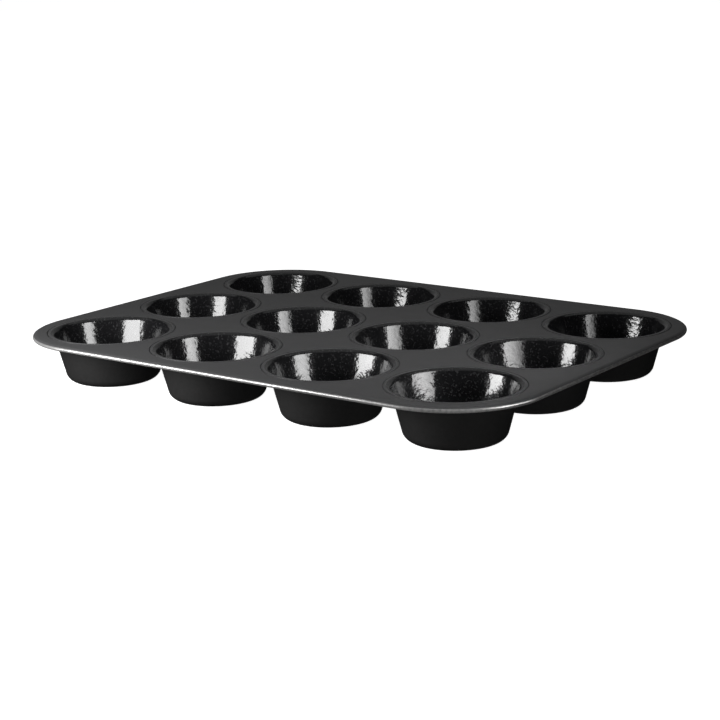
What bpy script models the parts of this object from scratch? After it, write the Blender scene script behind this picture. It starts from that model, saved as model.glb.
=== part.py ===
"""Twelve-cup muffin tin: a pressed deck with a wired edge, and twelve drawn cups locked into it.

The frame: metres, +Z up, +X along the long side, origin on the table under the middle of the tin.
Each cup hangs in a sunk seat around its hole. Its flange lies in the seat, level with the deck,
and a closed hem rolled out under the deck locks it there, as an eyelet is set in a sheet.
"""

import math

import bmesh
import bpy

MM = 0.001

# The whole tin.
LENGTH = 350 * MM
WIDTH = 266 * MM
HEIGHT = 30 * MM
CORNER_RADIUS = 54 * MM
SHEET = 0.4 * MM  # steel thickness of the deck and of the cups
GAP = 0.3 * MM  # clearance between pieces that touch

# The cups' grid.
PITCH = 83.5 * MM
COLUMNS = 4
ROWS = ("front", "middle", "back")

# One cup, outer side of its steel, as it would run without its rounded edges.
CUP_TOP_RADIUS = 35.4 * MM
CUP_BASE_RADIUS = 27.7 * MM
BASE_FILLET = 6.3 * MM  # outer side
SHOULDER_RADIUS = 2.5 * MM  # upper side, where the wall turns out into the flange
FLANGE_RADIUS = 38.6 * MM
HEM_RADIUS = 38.0 * MM

# The seat pressed in the deck around each hole.
SEAT_CLEARANCE = 0.4 * MM  # from the flange's edge to the foot of the seat's wall
SEAT_WALL_RUN = 0.3 * MM  # how far that wall leans back over its height

# The deck's wired edge: it rolls off gently, then curls tightly around the wire.
EDGE_RADIUS = 5.0 * MM  # upper side of the roll-off
EDGE_TURN = math.radians(32)
WIRE_RADIUS = 0.5 * MM
BEAD_RADIUS = 1.25 * MM  # outside of the curl

# How finely round shapes are divided.
CIRCLE_STEPS = 24
CORNER_STEPS = 8
FILLET_STEPS = 3
EDGE_STEPS = 2
CURL_OUTER_STEPS = 2
CURL_INNER_STEPS = 6
WIRE_BEVEL_RESOLUTION = 2

MERGE_DISTANCE = 0.01 * MM
SHARP_ANGLE = math.radians(35)


def clear_scene():
    for obj in list(bpy.data.objects):
        bpy.data.objects.remove(obj, do_unlink=True)


def make_collection(name):
    collection = bpy.data.collections.new(name)
    bpy.context.scene.collection.children.link(collection)
    return collection


def make_material(name, colour, roughness, metallic):
    material = bpy.data.materials.new(name)
    material.use_nodes = True
    shader = material.node_tree.nodes["Principled BSDF"]
    shader.inputs["Base Color"].default_value = (*colour, 1.0)
    shader.inputs["Roughness"].default_value = roughness
    shader.inputs["Metallic"].default_value = metallic
    return material


def add_object(collection, name, data, material, location=(0.0, 0.0, 0.0)):
    if not data.materials:
        data.materials.append(material)
    obj = bpy.data.objects.new(name, data)
    obj.location = location
    collection.objects.link(obj)
    return obj


def arc(centre, radius, start, turn, steps):
    """Points on an arc in a profile's plane; angles in radians from the profile's outward axis."""
    return [
        (
            centre[0] + radius * math.cos(start + turn * i / steps),
            centre[1] + radius * math.sin(start + turn * i / steps),
        )
        for i in range(steps + 1)
    ]


def rounded_outline(inset):
    """The deck's outline, moved inwards by inset, counter-clockwise from the +X side."""
    radius = CORNER_RADIUS - inset
    points = []
    for corner, (side_x, side_y) in enumerate(((1, 1), (-1, 1), (-1, -1), (1, -1))):
        centre = (
            side_x * (LENGTH / 2 - CORNER_RADIUS),
            side_y * (WIDTH / 2 - CORNER_RADIUS),
        )
        points += arc(centre, radius, corner * math.pi / 2, math.pi / 2, CORNER_STEPS)
    return points


def circle_outline(centre, radius):
    return arc(centre, radius, 0.0, math.tau, CIRCLE_STEPS)[:-1]


def cup_places():
    """Each cup's name and the middle of its mouth."""
    places = []
    for row, row_name in enumerate(ROWS):
        for column in range(COLUMNS):
            x = (column - (COLUMNS - 1) / 2) * PITCH
            y = (row - (len(ROWS) - 1) / 2) * PITCH
            places.append((f"cup_{row_name}_{column + 1}", (x, y)))
    return places


def make_ring(bm, outline, z):
    """Vertices at the outline's points, at height z."""
    return [bm.verts.new((x, y, z)) for x, y in outline]


def ring_edges(bm, ring):
    """The ring's own closed loop of edges."""
    return [
        bm.edges.get(pair) or bm.edges.new(pair)
        for pair in zip(ring, ring[1:] + ring[:1])
    ]


def loft(bm, rings):
    """A band of faces from each ring to the next."""
    for first, second in zip(rings, rings[1:]):
        for i, vert in enumerate(first):
            j = (i + 1) % len(first)
            bm.faces.new((vert, first[j], second[j], second[i]))


def bead_height():
    """The height of the wire, which the roll-off sets below the deck."""
    roll_off_drop = (EDGE_RADIUS - BEAD_RADIUS) * (1 - math.cos(EDGE_TURN))
    return HEIGHT - roll_off_drop - BEAD_RADIUS


def edge_profile():
    """(inset, height) along the upper side of the deck's edge, from the flat to the curl's end."""
    bead = (BEAD_RADIUS, bead_height())
    roll_off = (
        BEAD_RADIUS + (EDGE_RADIUS - BEAD_RADIUS) * math.sin(EDGE_TURN),
        HEIGHT - EDGE_RADIUS,
    )
    curl_start = math.pi / 2 + EDGE_TURN
    return [
        *arc(roll_off, EDGE_RADIUS, math.pi / 2, EDGE_TURN, EDGE_STEPS)[:-1],
        *arc(bead, BEAD_RADIUS, curl_start, math.pi - curl_start, CURL_OUTER_STEPS)[:-1],
        *arc(bead, BEAD_RADIUS, math.pi, math.pi, CURL_INNER_STEPS),
    ]


def seat_profile():
    """(radius, height) along the upper side of a cup's seat, from the deck to the hole's edge."""
    foot = FLANGE_RADIUS + SEAT_CLEARANCE
    floor = HEIGHT - SHEET - GAP
    return [
        (foot + SEAT_WALL_RUN, HEIGHT),
        (foot, floor),
        (shoulder_centre()[0], floor),
    ]


def build_deck(collection, material):
    """The deck's upper side as an open sheet, thickened downwards into the steel."""
    bm = bmesh.new()
    edge = [make_ring(bm, rounded_outline(inset), z) for inset, z in edge_profile()]
    loft(bm, edge)
    flat_edges = ring_edges(bm, edge[0])
    for _, centre in cup_places():
        seat = [
            make_ring(bm, circle_outline(centre, radius), z) for radius, z in seat_profile()
        ]
        loft(bm, seat)
        flat_edges += ring_edges(bm, seat[0])
    bmesh.ops.triangle_fill(
        bm, edges=flat_edges, use_beauty=True, normal=(0.0, 0.0, 1.0)
    )
    bmesh.ops.recalc_face_normals(bm, faces=bm.faces)
    highest = max(bm.faces, key=lambda face: face.calc_center_median().z)
    if highest.normal.z < 0:
        bmesh.ops.reverse_faces(bm, faces=bm.faces)
    mesh = bpy.data.meshes.new("deck")
    bm.to_mesh(mesh)
    bm.free()
    mesh.shade_smooth()
    mesh.set_sharp_from_angle(angle=SHARP_ANGLE)

    deck = add_object(collection, "deck", mesh, material)
    steel = deck.modifiers.new("Sheet", "SOLIDIFY")
    steel.thickness = SHEET
    steel.offset = -1.0
    steel.use_even_offset = True
    steel.use_quality_normals = True
    return deck


def build_rim_wire(collection, material):
    """The steel wire that the deck's edge is rolled around."""
    curve = bpy.data.curves.new("rim_wire", "CURVE")
    curve.dimensions = "3D"
    curve.twist_mode = "Z_UP"
    curve.bevel_depth = WIRE_RADIUS
    curve.bevel_resolution = WIRE_BEVEL_RESOLUTION
    outline = rounded_outline(BEAD_RADIUS)
    spline = curve.splines.new("POLY")
    spline.points.add(len(outline) - 1)
    for point, (x, y) in zip(spline.points, outline):
        point.co = (x, y, 0.0, 1.0)
    spline.use_cyclic_u = True
    return add_object(
        collection, "rim_wire", curve, material, (0.0, 0.0, bead_height())
    )


def wall_angle():
    """How far a cup's wall leans out from upright."""
    return math.atan2(CUP_TOP_RADIUS - CUP_BASE_RADIUS, HEIGHT)


def outer_radius(z):
    """The outer side of a cup's straight wall at height z."""
    return CUP_BASE_RADIUS + z * math.tan(wall_angle())


def shoulder_centre():
    """The centre, (radius, height), of the arc that turns a cup's wall out into its flange."""
    lean = wall_angle()
    z = HEIGHT - SHOULDER_RADIUS
    to_upper_side = (SHOULDER_RADIUS - SHEET) / math.cos(lean)
    return (outer_radius(z) + to_upper_side, z)


def fillet_centre():
    """The centre, (radius, height), of the arc between a cup's wall and its base."""
    lean = wall_angle()
    return (outer_radius(BASE_FILLET) - BASE_FILLET / math.cos(lean), BASE_FILLET)


def cup_profile():
    """(radius, height) from the inside of the base, over the flange and down to its underside."""
    lean = wall_angle()
    fillet = fillet_centre()
    shoulder = shoulder_centre()
    hem_top = HEIGHT - 2 * SHEET - 2 * GAP
    hem_bottom = hem_top - 2 * SHEET
    neck_radius = SHOULDER_RADIUS - SHEET
    neck_turn = math.asin((hem_top - shoulder[1]) / neck_radius)

    inside_fillet = arc(
        fillet, BASE_FILLET - SHEET, -math.pi / 2, math.pi / 2 - lean, FILLET_STEPS
    )
    inside_shoulder = arc(
        shoulder, SHOULDER_RADIUS, math.pi - lean, lean - math.pi / 2, FILLET_STEPS
    )
    neck = arc(
        shoulder, neck_radius, math.pi / 2, math.pi / 2 - neck_turn, FILLET_STEPS - 1
    )
    outside_fillet = arc(fillet, BASE_FILLET, -lean, lean - math.pi / 2, FILLET_STEPS)
    return [
        (0.0, SHEET),
        *inside_fillet,
        *inside_shoulder,
        (FLANGE_RADIUS, HEIGHT),
        (FLANGE_RADIUS, HEIGHT - SHEET),
        *neck,
        (HEM_RADIUS, hem_top),
        (HEM_RADIUS, hem_bottom),
        (outer_radius(hem_bottom), hem_bottom),
        *outside_fillet,
        (0.0, 0.0),
    ]


def build_cup_mesh():
    """A cup's profile, which each cup's own Screw modifier turns about its axis."""
    bm = bmesh.new()
    verts = [bm.verts.new((radius, 0.0, z)) for radius, z in cup_profile()]
    for first, second in zip(verts, verts[1:]):
        bm.edges.new((first, second))
    mesh = bpy.data.meshes.new("cup")
    bm.to_mesh(mesh)
    bm.free()
    return mesh


def build_cups(collection, material):
    mesh = build_cup_mesh()
    for name, (x, y) in cup_places():
        cup = add_object(collection, name, mesh, material, (x, y, 0.0))
        turn = cup.modifiers.new("Turn", "SCREW")
        turn.steps = CIRCLE_STEPS
        turn.render_steps = CIRCLE_STEPS
        turn.use_merge_vertices = True
        turn.merge_threshold = MERGE_DISTANCE
        turn.use_smooth_shade = True


def main():
    clear_scene()
    tin = make_collection("muffin_tin")
    deck_coating = make_material("deck_coating", (0.045, 0.045, 0.047), 0.42, 0.3)
    cup_coating = make_material("cup_coating", (0.012, 0.012, 0.013), 0.16, 0.3)
    wire_steel = make_material("wire_steel", (0.52, 0.50, 0.48), 0.32, 1.0)
    build_deck(tin, deck_coating)
    build_rim_wire(tin, wire_steel)
    build_cups(tin, cup_coating)


main()
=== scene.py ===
"""The muffin tin's looks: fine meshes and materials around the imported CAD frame, with camera and lights.

Metres, +Z up, the same frame as the CAD: the tin stands on z = 0 with its middle over the origin.
"""

import math

import bmesh
import bpy
from mathutils import Matrix, Vector


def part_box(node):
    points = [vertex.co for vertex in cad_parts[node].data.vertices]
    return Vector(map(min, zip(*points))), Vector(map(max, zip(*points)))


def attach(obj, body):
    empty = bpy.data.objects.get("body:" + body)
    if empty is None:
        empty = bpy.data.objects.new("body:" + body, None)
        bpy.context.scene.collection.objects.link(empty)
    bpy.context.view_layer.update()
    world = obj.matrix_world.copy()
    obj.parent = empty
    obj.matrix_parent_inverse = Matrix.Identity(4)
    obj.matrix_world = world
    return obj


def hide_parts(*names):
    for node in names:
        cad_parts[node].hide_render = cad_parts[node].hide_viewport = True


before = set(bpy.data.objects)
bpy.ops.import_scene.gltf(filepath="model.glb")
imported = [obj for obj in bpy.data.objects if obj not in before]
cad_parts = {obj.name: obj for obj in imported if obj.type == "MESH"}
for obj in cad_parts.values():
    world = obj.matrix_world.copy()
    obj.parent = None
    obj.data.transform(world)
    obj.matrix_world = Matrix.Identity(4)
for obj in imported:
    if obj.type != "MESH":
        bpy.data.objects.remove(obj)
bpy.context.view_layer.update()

MM = 0.001

# What the CAD boxes don't say about the tin, as in the CAD.
SHEET = 0.4 * MM
GAP = 0.3 * MM
CORNER_RADIUS = 54 * MM
CUP_TOP_RADIUS = 35.4 * MM
CUP_BASE_RADIUS = 27.7 * MM
BASE_FILLET = 6.3 * MM
SHOULDER_RADIUS = 2.5 * MM
HEM_RADIUS = 38.0 * MM
SEAT_CLEARANCE = 0.4 * MM
EDGE_RADIUS = 5.0 * MM
EDGE_TURN = math.radians(32)
BEAD_RADIUS = 1.25 * MM
WIRE_RADIUS = 0.5 * MM

# The finer edges that only the looks need.
SEAT_EDGE = 0.45 * MM
SEAT_FOOT = 0.25 * MM
FLANGE_EDGE = 0.1 * MM

# How finely round shapes are divided.
CIRCLE_STEPS = 128
CORNER_STEPS = 32
ROLL_OFF_STEPS = 10
CURL_OUTER_STEPS = 8
CURL_INNER_STEPS = 16
FILLET_STEPS = 10
EDGE_STEPS = 4

SHARP_ANGLE = math.radians(40)
MERGE_DISTANCE = 0.001 * MM

# The camera, at the photographed angle: where it stands and how it frames the tin.
CAMERA_AZIMUTH = math.radians(36.28)
CAMERA_ELEVATION = math.radians(14.39)
CAMERA_DISTANCE = 1.1284
CAMERA_ROLL = math.radians(-1.21)
CAMERA_LENS_MM = 92.14
SENSOR_MM = 36.0
CAMERA_SHIFT = (0.0021, 0.0207)

# The stage around the tin.
FLOOR_SIZE = 40.0
FLOOR_GAP = 0.2 * MM
FLAG_MIDDLE = (0.245, 0.0, 0.036)
FLAG_SIZE = (0.13, 0.6)
RIGHT_SPREAD = math.radians(86)

deck_low, deck_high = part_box("deck")
HALF_LENGTH = (deck_high.x - deck_low.x) / 2
HALF_WIDTH = (deck_high.y - deck_low.y) / 2
HEIGHT = deck_high.z
CUP_NODES = sorted(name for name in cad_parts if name.startswith("cup_"))


# ---------------------------------------------------------------- shapes


def arc(centre, radius, start, turn, steps):
    """Points on an arc, from the angle start through the angle turn."""
    return [
        (
            centre[0] + radius * math.cos(start + turn * i / steps),
            centre[1] + radius * math.sin(start + turn * i / steps),
        )
        for i in range(steps + 1)
    ]


def rounded_outline(inset):
    """The deck's outline, moved inwards by inset."""
    points = []
    for corner, (side_x, side_y) in enumerate(((1, 1), (-1, 1), (-1, -1), (1, -1))):
        centre = (
            side_x * (HALF_LENGTH - CORNER_RADIUS),
            side_y * (HALF_WIDTH - CORNER_RADIUS),
        )
        start = corner * math.pi / 2
        points += arc(centre, CORNER_RADIUS - inset, start, math.pi / 2, CORNER_STEPS)
    return points


def cup_centre(node):
    low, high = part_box(node)
    return ((low.x + high.x) / 2, (low.y + high.y) / 2)


def flange_radius():
    low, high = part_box(CUP_NODES[0])
    return (high.x - low.x) / 2


def wall_angle():
    """How far a cup's wall leans out from upright."""
    return math.atan2(CUP_TOP_RADIUS - CUP_BASE_RADIUS, HEIGHT)


def outer_radius(z):
    """The outer side of a cup's straight wall at height z."""
    return CUP_BASE_RADIUS + z * math.tan(wall_angle())


def shoulder_centre():
    z = HEIGHT - SHOULDER_RADIUS
    to_upper_side = (SHOULDER_RADIUS - SHEET) / math.cos(wall_angle())
    return (outer_radius(z) + to_upper_side, z)


def fillet_centre():
    to_wall = BASE_FILLET / math.cos(wall_angle())
    return (outer_radius(BASE_FILLET) - to_wall, BASE_FILLET)


def make_ring(bm, outline, z):
    return [bm.verts.new((x, y, z)) for x, y in outline]


def ring_edges(bm, ring):
    return [
        bm.edges.get(pair) or bm.edges.new(pair)
        for pair in zip(ring, ring[1:] + ring[:1])
    ]


def loft(bm, rings):
    """A band of faces from each ring to the next."""
    for first, second in zip(rings, rings[1:]):
        for i, vert in enumerate(first):
            j = (i + 1) % len(first)
            bm.faces.new((vert, first[j], second[j], second[i]))


def bead_height():
    """The height of the wire, which the roll-off sets below the deck."""
    roll_off_drop = (EDGE_RADIUS - BEAD_RADIUS) * (1 - math.cos(EDGE_TURN))
    return HEIGHT - roll_off_drop - BEAD_RADIUS


def edge_profile():
    """(inset, height) along the upper side of the deck's edge, from the flat to the curl's end."""
    bead = (BEAD_RADIUS, bead_height())
    roll_off = (
        BEAD_RADIUS + (EDGE_RADIUS - BEAD_RADIUS) * math.sin(EDGE_TURN),
        HEIGHT - EDGE_RADIUS,
    )
    curl_start = math.pi / 2 + EDGE_TURN
    return [
        *arc(roll_off, EDGE_RADIUS, math.pi / 2, EDGE_TURN, ROLL_OFF_STEPS)[:-1],
        *arc(bead, BEAD_RADIUS, curl_start, math.pi - curl_start, CURL_OUTER_STEPS)[:-1],
        *arc(bead, BEAD_RADIUS, math.pi, math.pi, CURL_INNER_STEPS),
    ]


def seat_profile():
    """(radius, height) along the upper side of a cup's seat, from the deck to the hole's edge."""
    wall = flange_radius() + SEAT_CLEARANCE
    floor = HEIGHT - SHEET - GAP
    edge_centre = (wall + SEAT_EDGE, HEIGHT - SEAT_EDGE)
    foot_centre = (wall - SEAT_FOOT, floor + SEAT_FOOT)
    return [
        *arc(edge_centre, SEAT_EDGE, math.pi / 2, math.pi / 2, EDGE_STEPS)[:-1],
        *arc(foot_centre, SEAT_FOOT, 0.0, -math.pi / 2, EDGE_STEPS),
        (shoulder_centre()[0], floor),
    ]


def circle_outline(centre, radius):
    return arc(centre, radius, 0.0, math.tau, CIRCLE_STEPS)[:-1]


def link(obj):
    bpy.context.scene.collection.objects.link(obj)
    return obj


def weight_normals(obj):
    """Keeps the large flat faces' shading flat beside the small rounded ones."""
    modifier = obj.modifiers.new("Normals", "WEIGHTED_NORMAL")
    modifier.keep_sharp = True
    modifier.weight = 100


def build_deck():
    """The deck's upper side with its seats and curled edge, thickened downwards into the steel."""
    bm = bmesh.new()
    edge = [make_ring(bm, rounded_outline(inset), z) for inset, z in edge_profile()]
    loft(bm, edge[ROLL_OFF_STEPS:])
    # The curl takes the second material slot: the lighter coating that paints a highlight along the edge.
    for face in bm.faces:
        face.material_index = 1
    loft(bm, edge[: ROLL_OFF_STEPS + 1])
    flat_edges = ring_edges(bm, edge[0])
    for node in CUP_NODES:
        centre = cup_centre(node)
        seat = [make_ring(bm, circle_outline(centre, r), z) for r, z in seat_profile()]
        loft(bm, seat)
        flat_edges += ring_edges(bm, seat[0])
    bmesh.ops.triangle_fill(bm, edges=flat_edges, use_beauty=True, normal=(0.0, 0.0, 1.0))
    bmesh.ops.recalc_face_normals(bm, faces=bm.faces)
    highest = max(bm.faces, key=lambda face: face.calc_center_median().z)
    if highest.normal.z < 0:
        bmesh.ops.reverse_faces(bm, faces=bm.faces)
    mesh = bpy.data.meshes.new("deck_skin")
    bm.to_mesh(mesh)
    bm.free()
    mesh.shade_smooth()
    mesh.set_sharp_from_angle(angle=SHARP_ANGLE)
    deck = link(bpy.data.objects.new("deck_skin", mesh))
    steel = deck.modifiers.new("Sheet", "SOLIDIFY")
    steel.thickness = SHEET
    steel.offset = -1.0
    steel.use_even_offset = True
    steel.use_quality_normals = True
    weight_normals(deck)
    return deck


def build_wire():
    curve = bpy.data.curves.new("rim_wire_round", "CURVE")
    curve.dimensions = "3D"
    curve.twist_mode = "Z_UP"
    curve.bevel_depth = WIRE_RADIUS
    curve.bevel_resolution = 4
    outline = rounded_outline(BEAD_RADIUS)
    spline = curve.splines.new("POLY")
    spline.points.add(len(outline) - 1)
    for point, (x, y) in zip(spline.points, outline):
        point.co = (x, y, bead_height(), 1.0)
    spline.use_cyclic_u = True
    return link(bpy.data.objects.new("rim_wire_round", curve))


def cup_profiles():
    """(radius, height) along a cup's glossy inside, its satin flange and its satin outside, in turn."""
    lean = wall_angle()
    fillet = fillet_centre()
    shoulder = shoulder_centre()
    rim = flange_radius()
    hem_top = HEIGHT - 2 * SHEET - 2 * GAP
    hem_bottom = hem_top - 2 * SHEET
    neck_radius = SHOULDER_RADIUS - SHEET
    neck_turn = math.asin((hem_top - shoulder[1]) / neck_radius)
    inside = [
        (0.0, SHEET),
        *arc(fillet, BASE_FILLET - SHEET, -math.pi / 2, math.pi / 2 - lean, FILLET_STEPS),
        *arc(shoulder, SHOULDER_RADIUS, math.pi - lean, lean - math.pi / 2, FILLET_STEPS),
    ]
    upper_edge = (rim - FLANGE_EDGE, HEIGHT - FLANGE_EDGE)
    lower_edge = (rim - FLANGE_EDGE, HEIGHT - SHEET + FLANGE_EDGE)
    flange = [
        inside[-1],
        *arc(upper_edge, FLANGE_EDGE, math.pi / 2, -math.pi / 2, EDGE_STEPS),
        *arc(lower_edge, FLANGE_EDGE, 0.0, -math.pi / 2, EDGE_STEPS),
    ]
    hem_centre = (HEM_RADIUS - SHEET, (hem_top + hem_bottom) / 2)
    outside = [
        flange[-1],
        *arc(shoulder, neck_radius, math.pi / 2, math.pi / 2 - neck_turn, FILLET_STEPS),
        *arc(hem_centre, SHEET, math.pi / 2, -math.pi, 2 * EDGE_STEPS),
        (outer_radius(hem_bottom), hem_bottom),
        *arc(fillet, BASE_FILLET, -lean, lean - math.pi / 2, FILLET_STEPS),
        (0.0, 0.0),
    ]
    return inside, flange, outside


def build_cup_mesh():
    """A whole cup, turned about its axis, with a material slot for each of its profiles."""
    bm = bmesh.new()
    for slot, profile in enumerate(cup_profiles()):
        rings = [
            make_ring(bm, circle_outline((0.0, 0.0), radius), z)
            for radius, z in profile
            if radius > 0.0
        ]
        loft(bm, rings)
        for ring, (radius, z) in ((rings[0], profile[0]), (rings[-1], profile[-1])):
            if radius == 0.0:
                centre = bm.verts.new((0.0, 0.0, z))
                for i, vert in enumerate(ring):
                    bm.faces.new((vert, ring[(i + 1) % len(ring)], centre))
        for face in bm.faces:
            if not face.tag:
                face.material_index = slot
                face.tag = True
    bmesh.ops.remove_doubles(bm, verts=bm.verts, dist=MERGE_DISTANCE)
    bmesh.ops.recalc_face_normals(bm, faces=bm.faces)
    mesh = bpy.data.meshes.new("cup_skin")
    bm.to_mesh(mesh)
    bm.free()
    mesh.shade_smooth()
    mesh.set_sharp_from_angle(angle=SHARP_ANGLE)
    return mesh


# ---------------------------------------------------------------- materials


def new_material(name):
    material = bpy.data.materials.new(name)
    material.use_nodes = True
    nodes = material.node_tree.nodes
    return material, nodes, material.node_tree.links, nodes["Principled BSDF"]


def noise(nodes, links, source, scale, detail):
    texture = nodes.new("ShaderNodeTexNoise")
    texture.inputs["Scale"].default_value = scale
    texture.inputs["Detail"].default_value = detail
    links.new(source, texture.inputs["Vector"])
    return texture.outputs["Fac"]


def ramp(nodes, links, source, low, high):
    """Remaps a 0..1 value to the range from low to high."""
    remap = nodes.new("ShaderNodeMapRange")
    remap.inputs["To Min"].default_value = low
    remap.inputs["To Max"].default_value = high
    links.new(source, remap.inputs["Value"])
    return remap.outputs["Result"]


def colour_ramp(nodes, links, source, dark, light, start=0.0, end=1.0):
    """Turns a 0..1 value into a colour, dark up to start and light from end."""
    colours = nodes.new("ShaderNodeValToRGB")
    first, last = colours.color_ramp.elements
    first.position = start
    first.color = (*dark, 1.0)
    last.position = end
    last.color = (*light, 1.0)
    links.new(source, colours.inputs["Fac"])
    return colours.outputs["Color"]


def bump(nodes, links, height, strength, distance):
    node = nodes.new("ShaderNodeBump")
    node.inputs["Strength"].default_value = strength
    node.inputs["Distance"].default_value = distance
    links.new(height, node.inputs["Height"])
    return node.outputs["Normal"]


def deck_material():
    """Satin dark grey non-stick coating with a fine orange-peel surface."""
    material, nodes, links, shader = new_material("deck_coating_fine")
    place = nodes.new("ShaderNodeTexCoord").outputs["Object"]
    mottle = noise(nodes, links, place, scale=900.0, detail=3.0)
    dark, light = (0.036, 0.036, 0.037), (0.044, 0.044, 0.045)
    colour = colour_ramp(nodes, links, mottle, dark, light, start=0.35, end=0.65)
    links.new(colour, shader.inputs["Base Color"])
    smears = noise(nodes, links, place, scale=60.0, detail=4.0)
    links.new(ramp(nodes, links, smears, low=0.40, high=0.48), shader.inputs["Roughness"])
    grain = noise(nodes, links, place, scale=1400.0, detail=2.0)
    peel = bump(nodes, links, grain, strength=0.25, distance=0.08 * MM)
    links.new(peel, shader.inputs["Normal"])
    return material


def rim_material():
    """The deck's coating along the wired edge, painted much lighter and partly metallic in patches: a
    painted highlight that brightens the edge's line of light.
    """
    material, nodes, links, shader = new_material("rim_coating_painted_highlight")
    place = nodes.new("ShaderNodeTexCoord").outputs["Object"]
    highlight_patches = noise(nodes, links, place, scale=500.0, detail=3.0)
    # Painted highlight: a far lighter colour than the deck's coating, varied in patches.
    dark, light = (0.19, 0.19, 0.19), (0.36, 0.355, 0.35)
    colour = colour_ramp(nodes, links, highlight_patches, dark, light, start=0.30, end=0.75)
    links.new(colour, shader.inputs["Base Color"])
    links.new(ramp(nodes, links, highlight_patches, low=0.30, high=0.70), shader.inputs["Metallic"])
    smears = noise(nodes, links, place, scale=90.0, detail=3.0)
    links.new(ramp(nodes, links, smears, low=0.26, high=0.34), shader.inputs["Roughness"])
    return material


def cup_inside_material():
    """Glossy black coating with a hammered surface and fine lighter specks, partly the coating's own and
    partly painted glints.
    """
    material, nodes, links, shader = new_material("cup_coating_inside")
    place = nodes.new("ShaderNodeNewGeometry").outputs["Position"]
    coating_specks_and_glints = noise(nodes, links, place, scale=750.0, detail=2.0)
    # The lighter specks in the colour are partly the coating's own and partly painted glints.
    dark, light = (0.007, 0.007, 0.0075), (0.032, 0.032, 0.033)
    colour = colour_ramp(nodes, links, coating_specks_and_glints, dark, light, start=0.56, end=0.74)
    links.new(colour, shader.inputs["Base Color"])
    smears = noise(nodes, links, place, scale=300.0, detail=2.0)
    links.new(ramp(nodes, links, smears, low=0.08, high=0.18), shader.inputs["Roughness"])
    dents = noise(nodes, links, place, scale=420.0, detail=1.0)
    hammered = bump(nodes, links, dents, strength=0.6, distance=0.2 * MM)
    links.new(hammered, shader.inputs["Normal"])
    return material


def cup_outside_material():
    """Satin black coating."""
    material, nodes, links, shader = new_material("cup_coating_outside")
    place = nodes.new("ShaderNodeNewGeometry").outputs["Position"]
    mottle = noise(nodes, links, place, scale=500.0, detail=3.0)
    colour = colour_ramp(nodes, links, mottle, (0.009, 0.009, 0.009), (0.016, 0.0155, 0.0155))
    links.new(colour, shader.inputs["Base Color"])
    smears = noise(nodes, links, place, scale=80.0, detail=3.0)
    links.new(ramp(nodes, links, smears, low=0.42, high=0.52), shader.inputs["Roughness"])
    grain = noise(nodes, links, place, scale=1200.0, detail=2.0)
    peel = bump(nodes, links, grain, strength=0.2, distance=0.08 * MM)
    links.new(peel, shader.inputs["Normal"])
    return material


def wire_material():
    """Drawn steel wire."""
    material, nodes, links, shader = new_material("wire_steel_drawn")
    place = nodes.new("ShaderNodeTexCoord").outputs["Object"]
    shader.inputs["Metallic"].default_value = 1.0
    mottle = noise(nodes, links, place, scale=700.0, detail=3.0)
    colour = colour_ramp(nodes, links, mottle, (0.42, 0.41, 0.40), (0.58, 0.57, 0.55))
    links.new(colour, shader.inputs["Base Color"])
    smears = noise(nodes, links, place, scale=400.0, detail=2.0)
    links.new(ramp(nodes, links, smears, low=0.25, high=0.40), shader.inputs["Roughness"])
    return material


# ---------------------------------------------------------------- stage


def build_floor():
    """A plain white floor, which shows to the camera but doesn't light the tin or show in it."""
    bpy.ops.mesh.primitive_plane_add(size=FLOOR_SIZE, location=(0.0, 0.0, -FLOOR_GAP))
    floor = bpy.context.object
    floor.name = "floor"
    material, *_, shader = new_material("floor_white")
    shader.inputs["Base Color"].default_value = (0.8, 0.8, 0.8, 1.0)
    shader.inputs["Roughness"].default_value = 0.9
    shader.inputs["Emission Color"].default_value = (1.0, 1.0, 1.0, 1.0)
    shader.inputs["Emission Strength"].default_value = 1.0
    floor.data.materials.append(material)
    floor.visible_glossy = False
    floor.visible_diffuse = False


def build_world():
    """A white surround that only the camera sees."""
    world = bpy.data.worlds.new("studio")
    world.use_nodes = True
    world.node_tree.nodes["Background"].inputs["Color"].default_value = (1.0, 1.0, 1.0, 1.0)
    world.cycles_visibility.glossy = False
    world.cycles_visibility.diffuse = False
    bpy.context.scene.world = world


def area_light(name, middle, target, size, radiance):
    """A soft box at middle that faces target, with the brightness that a mirror would show.

    Where a light's spread is narrowed, that brightness is only nominal.
    """
    light = bpy.data.lights.new(name, "AREA")
    light.shape = "RECTANGLE"
    light.size, light.size_y = size
    light.energy = radiance * math.pi * size[0] * size[1]
    obj = link(bpy.data.objects.new(name, light))
    middle = Vector(middle)
    obj.location = middle
    obj.rotation_euler = (Vector(target) - middle).to_track_quat("-Z", "Y").to_euler()
    obj.visible_camera = False
    return obj


def build_flag():
    """A black card that keeps the right softbox's light off the outsides of the cups."""
    bpy.ops.mesh.primitive_plane_add(size=1.0, location=FLAG_MIDDLE)
    flag = bpy.context.object
    flag.name = "flag"
    flag.scale = (*FLAG_SIZE, 1.0)
    material, *_, shader = new_material("flag_black")
    shader.inputs["Base Color"].default_value = (0.0, 0.0, 0.0, 1.0)
    shader.inputs["Roughness"].default_value = 1.0
    shader.inputs["Specular IOR Level"].default_value = 0.0
    flag.data.materials.append(material)
    flag.visible_camera = False
    flag.visible_glossy = False


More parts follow.
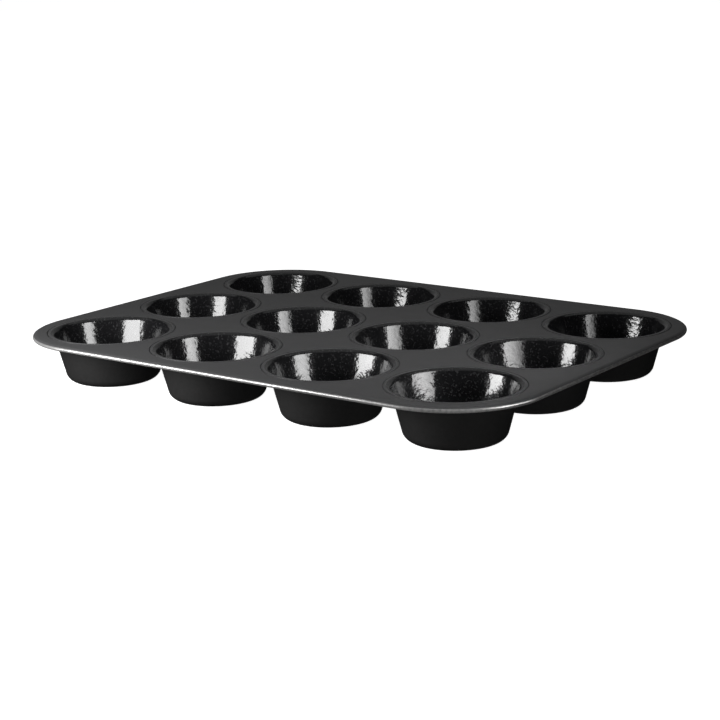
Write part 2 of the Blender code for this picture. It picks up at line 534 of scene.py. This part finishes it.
def build_lights():
    """The two softboxes make the bars in the cups; the rest light the deck and the cups' outsides."""
    area_light(
        "front_softbox",
        middle=(-0.133, -0.274, 0.093),
        target=(0.0, -0.081, 0.093),
        size=(0.176, 0.115),
        radiance=19.0,
    )
    right = area_light(
        "right_softbox",
        middle=(0.293, -0.045, 0.15),
        target=(-0.06, -0.09, 0.03),
        size=(0.16, 0.18),
        radiance=2.9,
    )
    right.data.spread = RIGHT_SPREAD
    area_light(
        "overhead_softbox",
        middle=(0.0, 0.0, 1.6),
        target=(0.0, 0.0, 0.0),
        size=(3.0, 3.0),
        radiance=0.35,
    )
    area_light(
        "back_softbox",
        middle=(-0.95, 1.3, 0.60),
        target=(0.0, 0.0, 0.03),
        size=(2.4, 1.1),
        radiance=0.155,
    )
    corner = area_light(
        "corner_fill",
        middle=(0.24, -0.25, 0.02),
        target=(0.125, -0.0835, 0.015),
        size=(0.15, 0.04),
        radiance=8.0,
    )
    corner.visible_glossy = False
    bounce = area_light(
        "floor_bounce",
        middle=(0.0, 0.0, 0.0),
        target=(0.0, 0.0, 1.0),
        size=(1.2, 1.2),
        radiance=0.35,
    )
    bounce.visible_glossy = False


def build_camera():
    back = Vector(
        (
            math.sin(CAMERA_AZIMUTH) * math.cos(CAMERA_ELEVATION),
            -math.cos(CAMERA_AZIMUTH) * math.cos(CAMERA_ELEVATION),
            math.sin(CAMERA_ELEVATION),
        )
    )
    camera = bpy.data.cameras.new("camera")
    camera.sensor_width = SENSOR_MM
    camera.lens = CAMERA_LENS_MM
    camera.shift_x, camera.shift_y = CAMERA_SHIFT
    obj = link(bpy.data.objects.new("camera", camera))
    facing = (-back).to_track_quat("-Z", "Y").to_matrix().to_4x4()
    roll = Matrix.Rotation(CAMERA_ROLL, 4, "Z")
    obj.matrix_world = Matrix.Translation(back * CAMERA_DISTANCE) @ facing @ roll
    bpy.context.scene.camera = obj


# ---------------------------------------------------------------- the tin


def dress_deck():
    deck = build_deck()
    deck.data.materials.append(deck_material())
    deck.data.materials.append(rim_material())
    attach(deck, "root")
    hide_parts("deck")


def dress_wire():
    wire = build_wire()
    wire.data.materials.append(wire_material())
    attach(wire, "root")
    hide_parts("rim_wire")


def dress_cups():
    mesh = build_cup_mesh()
    mesh.materials.append(cup_inside_material())
    mesh.materials.append(deck_material())
    mesh.materials.append(cup_outside_material())
    for node in CUP_NODES:
        cup = link(bpy.data.objects.new(node + "_skin", mesh))
        cup.location = (*cup_centre(node), 0.0)
        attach(cup, "root")
        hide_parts(node)


bpy.context.scene.view_settings.view_transform = "Standard"
dress_deck()
dress_wire()
dress_cups()
build_floor()
build_flag()
build_world()
build_lights()
build_camera()
